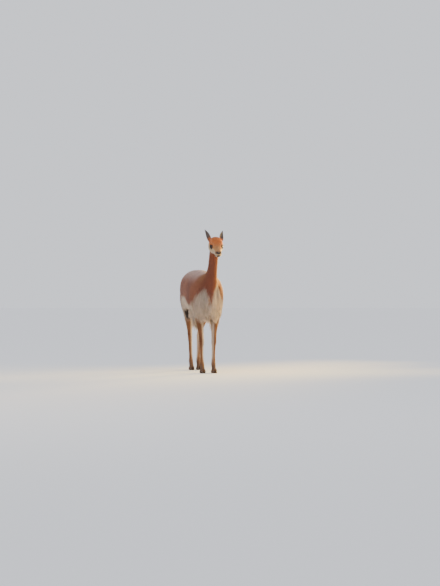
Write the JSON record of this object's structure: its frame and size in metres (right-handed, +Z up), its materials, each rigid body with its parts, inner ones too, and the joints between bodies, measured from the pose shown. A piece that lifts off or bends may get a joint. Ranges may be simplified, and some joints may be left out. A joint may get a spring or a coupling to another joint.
{
  "type": "vicuna",
  "caption": "Life-size still vicuna standing square and alert, with a long slender neck, upright ears, a long-haired pale chest bib, a woolly trunk and slim two-toed legs.",
  "frame": {"origin": "on the floor, under the middle of the whole animal's box", "axes": "+Z up, -Y the way the animal faces, +X the animal's left side"},
  "size_m": [0.305, 1.0602, 1.2285],
  "materials": {
    "fawn_coat": "dense soft cinnamon-fawn hair, matte with a faint sheen",
    "pale_wool": "long cream-white wool and hair, matte",
    "short_hair": "short flat tan hair, matte",
    "eye": "wet dark brown eye, glossy",
    "horn": "dark horn nail, dull with a low sheen"
  },
  "bodies": {
    "root": {"head": "fawn_coat", "ear_left": "short_hair", "ear_right": "short_hair", "eye_left": "eye", "eye_right": "eye", "neck": "fawn_coat", "torso": "fawn_coat", "tail": "pale_wool", "thigh_left": "pale_wool", "thigh_right": "pale_wool", "leg_fore_left": "short_hair", "leg_fore_right": "short_hair", "leg_hind_left": "short_hair", "leg_hind_right": "short_hair", "foot_fore_left": "short_hair", "foot_fore_right": "short_hair", "foot_hind_left": "short_hair", "foot_hind_right": "short_hair", "nail_fore_left_inner": "horn", "nail_fore_left_outer": "horn", "nail_fore_right_inner": "horn", "nail_fore_right_outer": "horn", "nail_hind_left_inner": "horn", "nail_hind_left_outer": "horn", "nail_hind_right_inner": "horn", "nail_hind_right_outer": "horn"}
  },
  "joints": []
}
